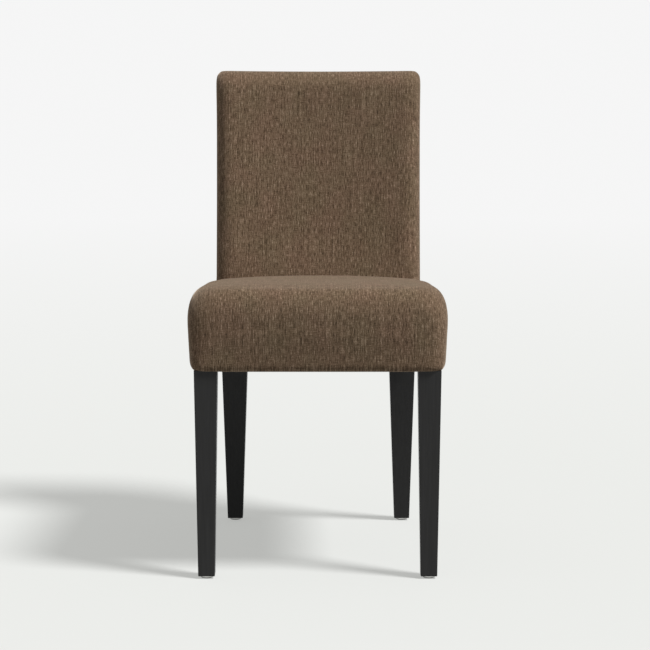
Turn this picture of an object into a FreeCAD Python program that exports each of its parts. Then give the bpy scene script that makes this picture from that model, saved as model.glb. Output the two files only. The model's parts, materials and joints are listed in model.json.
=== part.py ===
import FreeCAD, Part
import math
import os

# Upholstered dining chair with a hardwood frame, in millimetres.
# The pieces are drawn with X across, Y towards the back and Z up. Y is 0 at the front legs'
# front faces and Z is 0 on the floor. At the end the whole chair is moved so that the origin
# lies on the floor under its middle.
V = FreeCAD.Vector

# Seat frame
seat_bottom = 380.0            # floor to the underside of the rails
rail_height = 72.0
rail_thickness = 24.0          # front, rear and back rails
frame_depth = 487.0            # front legs' front faces to rear posts' rear faces
frame_front_width = 442.0      # over the front legs
frame_taper = 18.0             # how much narrower the frame is over the side rails' rear ends
side_rail_thickness = 20.7     # beside the rear posts
corner_ease = 20.0             # rounding of the frame's front corners under the cover
rail_end_ease = 16.0           # rounding of the side rails' rear ends

# Legs
front_leg_width = 42.0         # square section inside the seat frame
front_foot_width = 30.0        # square section at the foot
front_foot_inset = 5.4         # how far the foot's outer face stands in from the top's
front_foot_setback = 4.0       # the same for the front face
rear_leg_width = 54.0          # across, inside the seat frame
rear_leg_depth = 45.0          # front to back, inside the seat frame
rear_foot_width = 30.0
rear_foot_inset = 9.6
rear_foot_reach = 47.0         # how far the foot's rear face stands behind the seat frame
leg_edge = 1.5                 # eased edges of the visible legs

# Back frame
post_top_drop = 11.0           # from the top of the chair to the top of the posts
back_rake = 13.5               # lean of the front of the back, in degrees
post_top_depth = 28.0
lower_rail_rise = 48.0         # from the seat frame's top to the lower rail
lower_rail_height = 44.0
top_rail_height = 50.0

# Glides
glide_diameter = 22.6
glide_height = 4.5
glide_rim = 1.8
glide_nail_diameter = 2.4
glide_nail_length = 15.0

# Corner blocks and joints
block_height = 50.0
block_lift = 4.0               # above the rails' underside
front_block_reach = 60.0       # along each rail from the leg
rear_block_reach = 72.0
dowel_diameter = 10.0
dowel_length = 44.0
dowel_fit = 0.1                # radial room round a dowel
dowel_end_room = 1.0
dowel_margin = 20.0            # from a rail's edge to a dowel's middle
post_dowel_grip = 14.0         # length of a rear post's dowel inside the side rail
screw_diameter = 4.0
screw_length = 36.0
screw_grip = 20.0              # length of a screw inside its block
screw_head_diameter = 8.4
screw_head_height = 3.0
screw_fit = 0.15
screw_lift = 12.0              # from a block's underside to its lower screw
screw_step = 22.0              # between a block's two screws

# Springs, their clips and the sheet over them
spring_count = 5
spring_gap = 8.0               # between two springs
spring_side_room = 11.3        # from the outer springs to the posts
spring_wire = 3.8
spring_turns = 18
clip_width = 14.0
clip_sheet = 1.2
clip_base_length = 19.0
clip_room = 0.2                # round the wire
insulator_sheet = 1.2
insulator_side_room = 5.0      # from the sheet's edge to the side rails

# Tacks
tack_diameter = 1.8
tack_length = 12.0
tack_head_diameter = 6.0
tack_head_height = 1.0
tack_fit = 0.05

# Upholstery layers
overcut = 1.0                  # how far a cutting shape runs past what it cuts
cover_cloth = 1.5
layer_gap = 0.3
batting = 3.6
frame_room = 0.7               # from the frame to the batting round it
cut_reach = 200.0              # how far the largest cutting shapes run past the chair

# Seat cushion
bulge_rise = 21.4              # seat frame's top to the cushion's widest line
bulge = 5.5                    # how far the widest line stands out from the bottom edge
front_bow = 6.0                # forward bow of the front at the widest line
bottom_bow = 1.5               # the same at the bottom edge
roll_rise = 56.0               # height of the rounding from the widest line to the top
side_roll = 28.4               # how far the rounding turns in at the sides
front_roll = 41.0              # and at the front
crown = 5.0                    # rise of the top inside the rounding
crown_reach = 150.0            # from the edges in to the flat of the crown
seat_fall = 0.07               # slope of the top down towards the back
front_corner_low = 18.0        # front corners' rounding in plan at the bottom edge
front_corner_mid = 37.0        # at the widest line
front_corner_high = 56.0       # where the rounding meets the top
rear_corner_low = 20.0         # rear corners' rounding beside the rails
rear_corner_mid = 38.0         # at the widest line
rear_corner_high = 220.0       # where the rounding meets the top
widest_corner = 0.95           # largest rear rounding, as a share of half the width there
widest_front_corner = 0.6      # the same for the front roundings

# Back cushion
back_height = 895.0            # floor to the top of the chair
seat_line_rise = 51.0          # seat frame's top to where the back's front meets the seat
back_depth_at_seat = 65.0      # from there to the rear of the seat frame
back_base_rise = 10.0          # seat frame's top to the lower edge of the back's padding
back_side_room = 6.9           # from the posts' outer faces to the cover's outside
back_widening = 6.6            # how much wider the back's top is
back_front_roll = 33.0         # rounding over the top
back_rear_roll = 12.0
back_side_roll = 14.0
back_front_edge = 27.0         # rounding of the upright front edges
back_rear_edge = 6.0
widest_edge = 0.55             # largest edge rounding, as a share of the back's depth there
hollow_low = 1.5               # sideways hollow of the front surface at the seat
hollow_mid = 12.0
hollow_high = 7.0
hollow_rise = 140.0            # height over which the hollow deepens
hollow_fade = 140.0            # height over which it fades towards the top
batting_stop = 8.0             # batting ends this far in front of the posts' rear
back_lip = 25.0                # cover folded round on to the back of the frame
panel_inset = 2.5              # outside back panel, in from the back's sides
panel_top_drop = 15.0          # and down from the top
stiffener_inset = 22.0
tack_strip_width = 12.0
tack_strip_inset = 4.3         # in from the panel's edge

# Webbing of the back
strap_count = 5
strap_gap = 13.0               # between two straps
strap_low_room = 10.0          # from the lower rail to the first strap
strap_high_room = 8.0          # from the last strap to the top rail
strap_thickness = 1.5
strap_lap = 34.0               # on to each post

# Cloth under the seat
dust_cloth = 0.8
dust_cover_inset = 12.0        # in from the frame's outside
fold_under = 26.0              # seat cover folded under the rails
leg_room = 2.0                 # cloth kept clear of the legs

# Worked out from the above
seat_top = seat_bottom + rail_height
pad_room = cover_cloth + layer_gap + batting + frame_room
front_half = frame_front_width / 2
rear_half = front_half - frame_taper / 2
post_outer = rear_half - side_rail_thickness
post_inner = post_outer - rear_leg_width
post_front = frame_depth - rear_leg_depth
leg_inner = front_half - front_leg_width
post_top = back_height - post_top_drop
lower_rail_base = seat_top + lower_rail_rise
top_rail_base = post_top - top_rail_height
bulge_height = seat_top + bulge_rise
back_seat_line = seat_top + seat_line_rise
back_front_at_seat = frame_depth - back_depth_at_seat
back_base = seat_top + back_base_rise
back_low_width = 2 * (post_outer + back_side_room)
rake = math.tan(math.radians(back_rake))
rise_of_post = post_top - seat_top
rear_rake = (rake * rise_of_post + post_top_depth - rear_leg_depth) / rise_of_post
front_rail_middle = rail_thickness / 2
rear_rail_middle = frame_depth - rail_thickness / 2
spring_pitch = (2 * post_inner - 2 * spring_side_room + spring_gap) / spring_count
spring_width = spring_pitch - spring_gap
wire_height = seat_top + clip_sheet + clip_room + spring_wire / 2
insulator_base = wire_height + spring_wire / 2 + clip_room + clip_sheet + layer_gap
foam_base = insulator_base + insulator_sheet + layer_gap
cover_rear_gap = layer_gap + cover_cloth
cover_fold_base = seat_bottom - cover_cloth
dust_base = cover_fold_base - layer_gap - dust_cloth
middle_front = back_front_at_seat + rake * (back_base - back_seat_line)
lowest_strap = lower_rail_base + lower_rail_height + strap_low_room
strap_pitch = (top_rail_base - strap_high_room - lowest_strap + strap_gap) / strap_count
strap_height = strap_pitch - strap_gap


def post_front_at(z):
    """Y of the upper posts' front face at a height."""
    return post_front + rake * (z - seat_top)


def post_rear_at(z):
    """Y of the upper posts' rear face at a height."""
    return frame_depth + rear_rake * max(z - seat_top, 0.0)


def back_front_at(z):
    """Y of the back cushion's front surface at a height."""
    return back_front_at_seat + rake * (z - back_seat_line)


# Helpers for plain shapes
def box(x0, x1, y0, y1, z0, z1):
    return Part.makeBox(x1 - x0, y1 - y0, z1 - z0, V(x0, y0, z0))


def rectangle(x0, x1, y0, y1, z):
    corners = [V(x0, y0, z), V(x1, y0, z), V(x1, y1, z), V(x0, y1, z)]
    return Part.makePolygon(corners + corners[:1])


def plate(points, z0, z1):
    """A flat board from its outline in plan."""
    corners = [V(x, y, z0) for x, y in points]
    face = Part.Face(Part.makePolygon(corners + corners[:1]))
    return face.extrude(V(0, 0, z1 - z0))


def side_profile(points, x0, x1):
    """A bar from its outline seen from the side, as (y, z) points."""
    corners = [V(x0, y, z) for y, z in points]
    face = Part.Face(Part.makePolygon(corners + corners[:1]))
    return face.extrude(V(x1 - x0, 0, 0))


def rod(start, direction, length, diameter):
    return Part.makeCylinder(diameter / 2, length, start, direction)


def mirrored(shape):
    return shape.mirror(V(0, 0, 0), V(1, 0, 0))


def joined(first, *others):
    return first.fuse(list(others)).removeSplitter()


def moved_along(point, direction, distance):
    return point + V(direction).multiply(distance)


# Fasteners, each with the hole that it needs
def dowel(face_point, direction):
    start = moved_along(face_point, direction, -dowel_length / 2)
    return rod(start, direction, dowel_length, dowel_diameter)


def dowel_hole(face_point, direction):
    reach = dowel_length / 2 + dowel_end_room
    start = moved_along(face_point, direction, -reach)
    return rod(start, direction, 2 * reach, dowel_diameter + 2 * dowel_fit)


def screw(seat_point, direction):
    """A wood screw whose head rests at seat_point."""
    tip = screw_diameter
    shank = rod(seat_point, direction, screw_length - tip, screw_diameter)
    point = Part.makeCone(
        screw_diameter / 2, screw_diameter / 8, tip,
        moved_along(seat_point, direction, screw_length - tip), direction)
    head_start = moved_along(seat_point, direction, -screw_head_height)
    head = rod(head_start, direction, screw_head_height, screw_head_diameter)
    return joined(shank, point, head)


def screw_hole(seat_point, direction):
    """The bore for a screw, with a wide mouth behind its head."""
    bore = rod(seat_point, direction, screw_length + screw_fit, screw_diameter + 2 * screw_fit)
    mouth_length = 3 * screw_grip
    mouth_start = moved_along(seat_point, direction, -mouth_length)
    mouth = rod(mouth_start, direction, mouth_length, screw_head_diameter + 2 * screw_fit)
    return joined(bore, mouth)


def tack(seat_point, direction):
    """A tack whose head rests at seat_point."""
    head_start = moved_along(seat_point, direction, -tack_head_height)
    head = rod(head_start, direction, tack_head_height, tack_head_diameter)
    return joined(rod(seat_point, direction, tack_length, tack_diameter), head)


def tack_hole(seat_point, direction):
    return rod(seat_point, direction, tack_length + tack_fit, tack_diameter + 2 * tack_fit)


parts = {}

# Front legs
def make_front_leg():
    foot_outer = front_half - front_foot_inset
    foot = rectangle(foot_outer - front_foot_width, foot_outer,
                     front_foot_setback, front_foot_setback + front_foot_width, glide_height)
    top = rectangle(leg_inner, front_half, 0, front_leg_width, seat_bottom)
    shaft = Part.makeLoft([foot, top], True, True)
    visible = [e for e in shaft.Edges if min(v.Z for v in e.Vertexes) < glide_height + 0.01]
    shaft = shaft.makeFillet(leg_edge, visible)
    block = box(leg_inner, front_half, 0, front_leg_width, seat_bottom, seat_top)
    outer_edge = [e for e in block.Edges
                  if all(abs(v.X - front_half) + abs(v.Y) < 0.01 for v in e.Vertexes)]
    return joined(shaft, block.makeFillet(corner_ease, outer_edge))


# Rear posts: leg, seat block and back upright in one piece
def make_rear_post():
    foot_outer = post_outer - rear_foot_inset
    foot_rear = frame_depth + rear_foot_reach
    foot = rectangle(foot_outer - rear_foot_width, foot_outer,
                     foot_rear - rear_foot_width, foot_rear, glide_height)
    low = rectangle(post_inner, post_outer, post_front, frame_depth, seat_bottom)
    high = rectangle(post_inner, post_outer, post_front, frame_depth, seat_top)
    top = rectangle(post_inner, post_outer, post_front_at(post_top), post_rear_at(post_top), post_top)
    leg = Part.makeLoft([foot, low], True, True)
    visible = [e for e in leg.Edges if min(v.Z for v in e.Vertexes) < glide_height + 0.01]
    leg = leg.makeFillet(leg_edge, visible)
    block = box(post_inner, post_outer, post_front, frame_depth, seat_bottom, seat_top)
    upright = Part.makeLoft([high, top], True, True)
    return joined(leg, block, upright)


front_leg = make_front_leg()
rear_post = make_rear_post()


# Seat rails
front_rail = box(-leg_inner, leg_inner, 0, rail_thickness, seat_bottom, seat_top)
rear_rail = box(-post_inner, post_inner, frame_depth - rail_thickness, frame_depth,
                seat_bottom, seat_top)


def make_side_rail():
    """It butts against the front leg and laps the outside of the rear post."""
    outline = [(post_outer, front_leg_width), (front_half, front_leg_width),
               (rear_half, frame_depth), (post_outer, frame_depth)]
    rail = plate(outline, seat_bottom, seat_top)
    end_edge = [e for e in rail.Edges
                if all(abs(v.X - rear_half) + abs(v.Y - frame_depth) < 0.01 for v in e.Vertexes)]
    return rail.makeFillet(rail_end_ease, end_edge)


side_rail = make_side_rail()


# Rails of the back
def make_back_rail(z0, z1):
    profile = [(post_front_at(z0), z0), (post_front_at(z0) + rail_thickness, z0),
               (post_front_at(z1) + rail_thickness, z1), (post_front_at(z1), z1)]
    return side_profile(profile, -post_inner, post_inner)


lower_rail = make_back_rail(lower_rail_base, lower_rail_base + lower_rail_height)
top_rail = make_back_rail(top_rail_base, post_top)


# Corner blocks, drawn for the right-hand side
block_base = seat_bottom + block_lift
front_block = plate(
    [(leg_inner, rail_thickness), (leg_inner - front_block_reach, rail_thickness),
     (post_outer, front_leg_width + front_block_reach), (post_outer, front_leg_width),
     (leg_inner, front_leg_width)],
    block_base, block_base + block_height)
rear_block = plate(
    [(post_inner, frame_depth - rail_thickness),
     (post_inner - rear_block_reach, frame_depth - rail_thickness),
     (post_outer, post_front - rear_block_reach), (post_outer, post_front),
     (post_inner, post_front)],
    block_base, block_base + block_height)

low_screw = block_base + screw_lift
high_screw = low_screw + screw_step
screw_side_seat = post_outer - screw_grip
block_screws = {
    "front": [
        (V(leg_inner - front_block_reach / 2, rail_thickness + screw_grip, low_screw), V(0, -1, 0)),
        (V(screw_side_seat, front_leg_width + front_block_reach / 2, high_screw), V(1, 0, 0))],
    "rear": [
        (V(post_inner - rear_block_reach / 2, frame_depth - rail_thickness - screw_grip, low_screw),
         V(0, 1, 0)),
        (V(screw_side_seat, post_front - rear_block_reach / 2, high_screw), V(1, 0, 0))]}


# Dowel joints, drawn for the right-hand side, as (place, direction)
dowel_heights = [seat_bottom + dowel_margin, seat_top - dowel_margin]
side_rail_front_middle = (post_outer + front_half) / 2
across = V(1, 0, 0)
along = V(0, 1, 0)
front_rail_joint = [(V(leg_inner, front_rail_middle, z), across) for z in dowel_heights]
rear_rail_joint = [(V(post_inner, rear_rail_middle, z), across) for z in dowel_heights]
side_front_joint = [(V(side_rail_front_middle, front_leg_width, z), along) for z in dowel_heights]
post_dowel_middle = post_outer + post_dowel_grip - dowel_length / 2
side_rear_joint = [(V(post_dowel_middle, frame_depth - rear_leg_depth / 2, z), across)
                   for z in dowel_heights]


def back_rail_joint(z0, z1):
    step = (z1 - z0) / 4
    heights = [z0 + step, z1 - step]
    return [(V(post_inner, post_front_at(z) + rail_thickness / 2, z), across) for z in heights]


lower_rail_joint = back_rail_joint(lower_rail_base, lower_rail_base + lower_rail_height)
top_rail_joint = back_rail_joint(top_rail_base, post_top)


def bored(shape, joints):
    return shape.cut([dowel_hole(place, direction) for place, direction in joints])


def bored_both_sides(shape, joints):
    holes = [dowel_hole(place, direction) for place, direction in joints]
    return shape.cut(holes + [mirrored(h) for h in holes])


# Spring clips: a nailed plate with a loop round the wire
def make_clip(x, y_wire, towards):
    """towards is -1 where the plate points to the front and 1 where it points to the back."""
    centre = V(x - clip_width / 2, y_wire, wire_height)
    loop_bore = spring_wire + 2 * clip_room
    loop = rod(centre, across, clip_width, loop_bore + 2 * clip_sheet)
    y_far = y_wire + towards * clip_base_length / 2
    base = box(x - clip_width / 2, x + clip_width / 2, min(y_wire, y_far), max(y_wire, y_far),
               seat_top, seat_top + clip_sheet)
    return joined(loop, base).cut(rod(centre, across, clip_width, loop_bore))


def clip_nail_place(x, y_wire, towards):
    edge = clip_base_length / 2 - tack_head_diameter / 2
    return V(x, y_wire + towards * edge, seat_top + clip_sheet)


spring_places = [spring_pitch * (i - (spring_count - 1) / 2) for i in range(spring_count)]
front_clips = [make_clip(x, front_rail_middle, -1) for x in spring_places]
rear_clips = [make_clip(x, rear_rail_middle, 1) for x in spring_places]
down = V(0, 0, -1)
front_nails = [clip_nail_place(x, front_rail_middle, -1) for x in spring_places]
rear_nails = [clip_nail_place(x, rear_rail_middle, 1) for x in spring_places]
clip_bores_front = [tack_hole(p, down) for p in front_nails]
clip_bores_rear = [tack_hole(p, down) for p in rear_nails]


# Zigzag springs: straight rungs joined by half turns
def make_spring(x):
    step = (rear_rail_middle - front_rail_middle) / spring_turns
    bend = step / 2
    straight = spring_width / 2 - bend
    edges = []
    side = 1
    for i in range(spring_turns + 1):
        y = front_rail_middle + i * step
        start = V(x - side * straight, y, wire_height)
        end = V(x + side * straight, y, wire_height)
        edges.append(Part.LineSegment(start, end).toShape())
        if i < spring_turns:
            far = V(x + side * (straight + bend), y + bend, wire_height)
            turn_end = V(x + side * straight, y + step, wire_height)
            edges.append(Part.Arc(end, far, turn_end).toShape())
        side = -side
    path = Part.Wire(edges)
    ring = Part.Wire(Part.makeCircle(spring_wire / 2, V(x - straight, front_rail_middle, wire_height),
                                     across))
    return path.makePipeShell([ring], True, False)


# Sheet over the springs, with a tongue on to the rear rail between the posts
sheet_half = post_outer - insulator_side_room
sheet_rear = post_front - layer_gap
insulator = joined(
    box(-sheet_half, sheet_half, layer_gap, sheet_rear,
        insulator_base, insulator_base + insulator_sheet),
    box(-post_inner + layer_gap, post_inner - layer_gap, layer_gap, frame_depth - layer_gap,
        insulator_base, insulator_base + insulator_sheet))


# Seat cushion form. Its sections are stacked from the bottom edge to the crown.
def seat_section(z, side_in, end_in, share, bow, corner_front, corner_rear, half_front, half_rear,
                 y0, y1):
    """One closed outline. share is how much of the top's slope the section takes."""
    hf = half_front - side_in
    hr = half_rear - side_in
    yf = y0 + end_in
    yr = y1 - end_in
    rf = min(corner_front, widest_front_corner * hf)
    rr = min(corner_rear, widest_corner * hr)

    def at(x, y):
        return V(x, y, z - share * seat_fall * (y - y0))

    def bend(centre_x, centre_y, radius, start, end):
        angles = [math.radians(a) for a in (start, (start + end) / 2, end)]
        return Part.Arc(*[at(centre_x + radius * math.cos(a), centre_y + radius * math.sin(a))
                          for a in angles]).toShape()

    y_corner = yf + bow + rf
    y_back = yr - rr
    edges = [
        Part.Arc(at(rf - hf, yf + bow), at(0, yf), at(hf - rf, yf + bow)).toShape(),
        bend(hf - rf, y_corner, rf, -90, 0),
        Part.LineSegment(at(hf, y_corner), at(hr, y_back)).toShape(),
        bend(hr - rr, y_back, rr, 0, 90),
        Part.LineSegment(at(hr - rr, yr), at(rr - hr, yr)).toShape(),
        bend(rr - hr, y_back, rr, 90, 180),
        Part.LineSegment(at(-hr, y_back), at(-hf, y_corner)).toShape(),
        bend(rf - hf, y_corner, rf, 180, 270)]
    return Part.Wire(edges)


def blend(low, high, share):
    return low + (high - low) * share


def seat_form(depth, base):
    """The cushion's outside moved in by depth, from the height base up."""
    half_front = front_half + pad_room + bulge
    half_rear = rear_half + pad_room + bulge
    y0 = -pad_room - bottom_bow - bulge
    y1 = frame_depth + pad_room
    sections = []

    def add(z, side_in, end_in, share, bow, corner_front, corner_rear, upright=0.0):
        """upright is how much less the section turns in at the rear, which stands straight."""
        sections.append(seat_section(z, side_in + depth, end_in + depth, share, bow,
                                     max(corner_front - depth, 2.0), max(corner_rear - depth, 2.0),
                                     half_front, half_rear, y0, y1 + upright))

    for step in (0.0, 0.2, 0.4, 0.6, 0.8, 1.0):
        tuck = bulge * (1 + math.cos(math.pi * step)) / 2
        add(blend(base, bulge_height, step), tuck, tuck, 0.0, blend(bottom_bow, front_bow, step),
            blend(front_corner_low, front_corner_mid, step),
            rear_corner_low if step < 1 else rear_corner_mid, tuck)
    side = side_roll - depth
    front = front_roll - depth
    rise = roll_rise - depth
    for angle in (15, 30, 45, 60, 75):
        turn = math.radians(angle)
        share = math.sin(turn)
        turned_in = 1 - math.cos(turn)
        add(bulge_height + rise * share, side * turned_in, front * turned_in, share, front_bow,
            blend(front_corner_mid, front_corner_high, share),
            blend(rear_corner_mid, rear_corner_high, share))
    for step in (0.12, 0.3, 0.6, 1.0):
        height = blend(rise * share, rise + crown, 1 - (1 - step) ** 2)
        add(bulge_height + height, blend(side * turned_in, crown_reach, step),
            blend(front * turned_in, crown_reach, step), 1.0, front_bow,
            front_corner_high, rear_corner_high)
    return Part.makeLoft(sections, True, True)


# The back stands in a notch of the seat's upholstery
notch_half = back_low_width / 2 + layer_gap
notch_front = middle_front - layer_gap
far_back = frame_depth + cut_reach
high_up = back_height + cut_reach
back_notch = side_profile(
    [(notch_front, 0.0), (notch_front, back_base),
     (back_front_at(high_up) - layer_gap, high_up), (far_back, high_up), (far_back, 0.0)],
    -notch_half, notch_half)


def make_seat_cover():
    outside = seat_form(0.0, cover_fold_base)
    inside = seat_form(cover_cloth, seat_bottom)
    opening = box(-front_half + fold_under, front_half - fold_under, fold_under, far_back,
                  cover_fold_base - overcut, seat_bottom + overcut)
    leg_pocket = box(leg_inner - leg_room, front_half + layer_gap, -layer_gap,
                     front_leg_width + leg_room, cover_fold_base - overcut, seat_bottom + overcut)
    return outside.cut([inside, opening, leg_pocket, mirrored(leg_pocket), back_notch])


def make_seat_batting():
    outer_depth = cover_cloth + layer_gap
    outside = seat_form(outer_depth, seat_bottom + layer_gap)
    inside = seat_form(outer_depth + batting, seat_bottom + layer_gap - overcut)
    return outside.cut([inside, back_notch])


def make_seat_foam():
    depth = cover_cloth + batting + 2 * layer_gap
    whole = seat_form(depth, seat_bottom)
    below = box(-2 * front_half, 2 * front_half, -far_back, far_back, 0, seat_top + layer_gap)
    recess_half = post_outer - insulator_side_room + layer_gap
    recess = box(-recess_half, recess_half, 0, far_back, seat_bottom, foam_base)
    return whole.cut([below, recess, back_notch])


# Back cushion form, from horizontal sections
def back_half_width(z):
    share = max(z - back_seat_line, 0.0) / (back_height - back_seat_line)
    return (back_low_width + back_widening * share ** 3) / 2


def back_hollow(z):
    rise = min(max((z - back_base) / hollow_rise, 0.0), 1.0)
    fade = min(max((z - back_height + hollow_fade) / hollow_fade, 0.0), 1.0)
    deep = blend(hollow_low, hollow_mid, rise ** 2 * (3 - 2 * rise))
    return deep - (hollow_mid - hollow_high) * fade ** 2


def back_section(z, half, y_front, y_rear, edge_front, edge_rear, hollow):
    """One outline with a hollow front between two rounded upright edges."""
    lean = 0.0
    for _ in range(6):
        chord = half - edge_front * (1 + math.sin(lean))
        lean = 2 * math.atan(hollow / chord)
    chord = half - edge_front * (1 + math.sin(lean))
    centre_x = half - edge_front
    centre_y = y_front + edge_front
    start_y = centre_y - edge_front * math.cos(lean)

    def rim(sign, turn):
        return V(sign * (centre_x + edge_front * math.sin(turn)),
                 centre_y - edge_front * math.cos(turn), z)

    half_turn = (math.pi / 2 - lean) / 2
    rear_x = half - edge_rear
    rear_y = y_rear - edge_rear
    diagonal = edge_rear * math.sqrt(0.5)

    def rear_bend(sign):
        return [V(sign * half, rear_y, z), V(sign * (rear_x + diagonal), rear_y + diagonal, z),
                V(sign * rear_x, y_rear, z)]

    right = rear_bend(1)
    left = rear_bend(-1)
    edges = [
        Part.Arc(rim(-1, -lean), V(0, start_y + hollow, z), rim(1, -lean)).toShape(),
        Part.Arc(rim(1, -lean), rim(1, half_turn), rim(1, math.pi / 2)).toShape(),
        Part.LineSegment(rim(1, math.pi / 2), right[0]).toShape(),
        Part.Arc(*right).toShape(),
        Part.LineSegment(right[2], left[2]).toShape(),
        Part.Arc(left[2], left[1], left[0]).toShape(),
        Part.LineSegment(left[0], rim(-1, math.pi / 2)).toShape(),
        Part.Arc(rim(-1, math.pi / 2), rim(-1, half_turn), rim(-1, -lean)).toShape()]
    return Part.Wire(edges)


def round_drop(z, top, radius):
    """How far a rounding of this radius under this top has turned in at a height."""
    height = min(max(z - (top - radius), 0.0), radius)
    return radius - math.sqrt(radius ** 2 - height ** 2)


def back_form(depth, rear_depth, base):
    """The back's outside moved in by depth, but by rear_depth at its rear."""
    form_base = back_base - 2 * overcut
    top = back_height - depth
    front_roll = back_front_roll - depth
    rear_roll = back_rear_roll - depth
    side_roll = back_side_roll - depth
    roll_start = top - front_roll
    shares = (0.0, 0.1, 0.2, 0.3, 0.45, 0.6, 0.75, 0.88, 1.0)
    levels = [blend(form_base, roll_start, share) for share in shares]
    levels += [roll_start + front_roll * math.sin(math.radians(a)) for a in (15, 30, 45, 60, 75, 90)]
    levels += [top - rear_roll, top - rear_roll / 2]
    sections = []
    for z in sorted(levels):
        y_front = back_front_at(z) + depth + round_drop(z, top, front_roll)
        y_rear = post_rear_at(z) + cover_rear_gap - rear_depth - round_drop(z, top, rear_roll)
        half = back_half_width(z) - depth - round_drop(z, top, side_roll)
        room = (y_rear - y_front) * widest_edge
        edge_front = min(back_front_edge - depth, room)
        edge_rear = min(back_rear_edge - depth / 2, room / 2)
        sections.append(back_section(z, half, y_front, y_rear, edge_front, edge_rear,
                                     back_hollow(z)))
    form = Part.makeLoft(sections, True, True)
    return form.cut(box(-2 * half, 2 * half, -far_back, far_back, form_base - overcut, base))


def behind(offset, z0, z1, half):
    """The space behind a plane that lies offset behind the posts' rear faces."""
    return side_profile(
        [(post_rear_at(z0) + offset, z0), (far_back, z0), (far_back, z1),
         (post_rear_at(z1) + offset, z1)], -half, half)


def make_back_cover():
    outside = back_form(0.0, 0.0, back_base)
    inside = back_form(cover_cloth, cover_cloth, back_base - overcut)
    window_half = back_low_width / 2 - back_lip
    window = behind(-rail_thickness / 2, back_base - overcut, back_height - back_lip, window_half)
    return outside.cut([inside, window])


def make_back_batting():
    depth = cover_cloth + layer_gap
    outside = back_form(depth, depth, back_base + layer_gap)
    inside = back_form(depth + batting, depth, back_base - overcut)
    rear = behind(-batting_stop, back_base - overcut, back_height + overcut, back_low_width)
    return outside.cut([inside, rear])


def make_back_foam():
    depth = cover_cloth + batting + 2 * layer_gap
    whole = back_form(depth, cover_cloth + layer_gap, back_base + layer_gap)
    stack = strap_thickness + tack_head_height + layer_gap
    low = back_base - overcut
    frame_space = side_profile(
        [(post_front_at(low) - stack, low), (far_back, low), (far_back, post_top + layer_gap),
         (post_front_at(post_top) - stack, post_top + layer_gap)],
        -back_low_width, back_low_width)
    return whole.cut(frame_space)


def rear_sheet(offset, thickness, z0, z1, half):
    """A sheet that follows the posts' rear faces, upright at the seat and leaning above."""
    bend = [seat_top] if z0 < seat_top else []
    heights = [z0] + bend + [z1]
    inner = [(post_rear_at(z) + offset, z) for z in heights]
    outer = [(y + thickness, z) for y, z in reversed(inner)]
    return side_profile(inner + outer, -half, half)


panel_half = back_low_width / 2 - panel_inset
panel_top = back_height - panel_top_drop
stiffener_offset = cover_rear_gap + layer_gap
panel_offset = stiffener_offset + cover_cloth + layer_gap


def make_panel():
    sheet = rear_sheet(panel_offset, cover_cloth, cover_fold_base, panel_top, panel_half)
    fold = box(-post_inner + leg_room, post_inner - leg_room, frame_depth - fold_under,
               frame_depth + panel_offset, cover_fold_base, seat_bottom)
    return joined(sheet, fold)


stiffener_half = panel_half - stiffener_inset
stiffener_top = panel_top - stiffener_inset
strip_out = panel_half - tack_strip_inset


def make_tack_strips():
    side = rear_sheet(stiffener_offset, cover_cloth, seat_top, stiffener_top, tack_strip_width / 2)
    side.translate(V(strip_out - tack_strip_width / 2, 0, 0))
    top = rear_sheet(stiffener_offset, cover_cloth, stiffener_top + layer_gap,
                     stiffener_top + layer_gap + tack_strip_width, strip_out)
    return [side, mirrored(side), top]


# Webbing straps across the back, tacked to the posts
def make_strap(i):
    z0 = lowest_strap + i * strap_pitch
    z1 = z0 + strap_height
    return side_profile(
        [(post_front_at(z0) - strap_thickness, z0), (post_front_at(z0), z0),
         (post_front_at(z1), z1), (post_front_at(z1) - strap_thickness, z1)],
        -post_inner - strap_lap, post_inner + strap_lap)


into_post = V(0, 1, -rake).normalize()


def strap_tack_places(i):
    places = []
    for share in (0.25, 0.75):
        z = lowest_strap + i * strap_pitch + share * strap_height
        y = post_front_at(z) - strap_thickness
        places += [V(x, y, z) for x in (post_inner + strap_lap / 2, -post_inner - strap_lap / 2)]
    return places


strap_tacks = [p for i in range(strap_count) for p in strap_tack_places(i)]
strap_bores = [tack_hole(p, into_post) for p in strap_tacks]


# Dust cover under the seat, tacked to the rails
cover_front = dust_cover_inset
cover_rear = frame_depth - dust_cover_inset
cover_half = rear_half - dust_cover_inset


def make_dust_cover():
    sheet = box(-cover_half, cover_half, cover_front, cover_rear, dust_base, dust_base + dust_cloth)
    front_pocket = box(leg_inner - leg_room, front_half, 0, front_leg_width + leg_room,
                       dust_base - overcut, seat_bottom)
    rear_pocket = box(post_inner - leg_room, post_outer + leg_room, post_front - leg_room, far_back,
                      dust_base - overcut, seat_bottom)
    return sheet.cut([front_pocket, mirrored(front_pocket), rear_pocket, mirrored(rear_pocket)])


up = V(0, 0, 1)
side_tack_x = (post_outer + cover_half) / 2
side_tack_rows = [blend(front_leg_width, post_front, share) for share in (0.15, 0.38, 0.62, 0.85)]
rail_tack_columns = [leg_inner * share for share in (-0.6, 0.0, 0.6)]
front_tack_y = rail_thickness - tack_head_diameter / 2
rear_tack_y = frame_depth - rail_thickness + tack_head_diameter / 2
dust_tacks = [V(sign * side_tack_x, y, dust_base) for y in side_tack_rows for sign in (1, -1)]
dust_tacks += [V(x, front_tack_y, dust_base) for x in rail_tack_columns]
dust_tacks += [V(x, rear_tack_y, dust_base) for x in rail_tack_columns]
dust_bores = [tack_hole(p, up) for p in dust_tacks]


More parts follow.
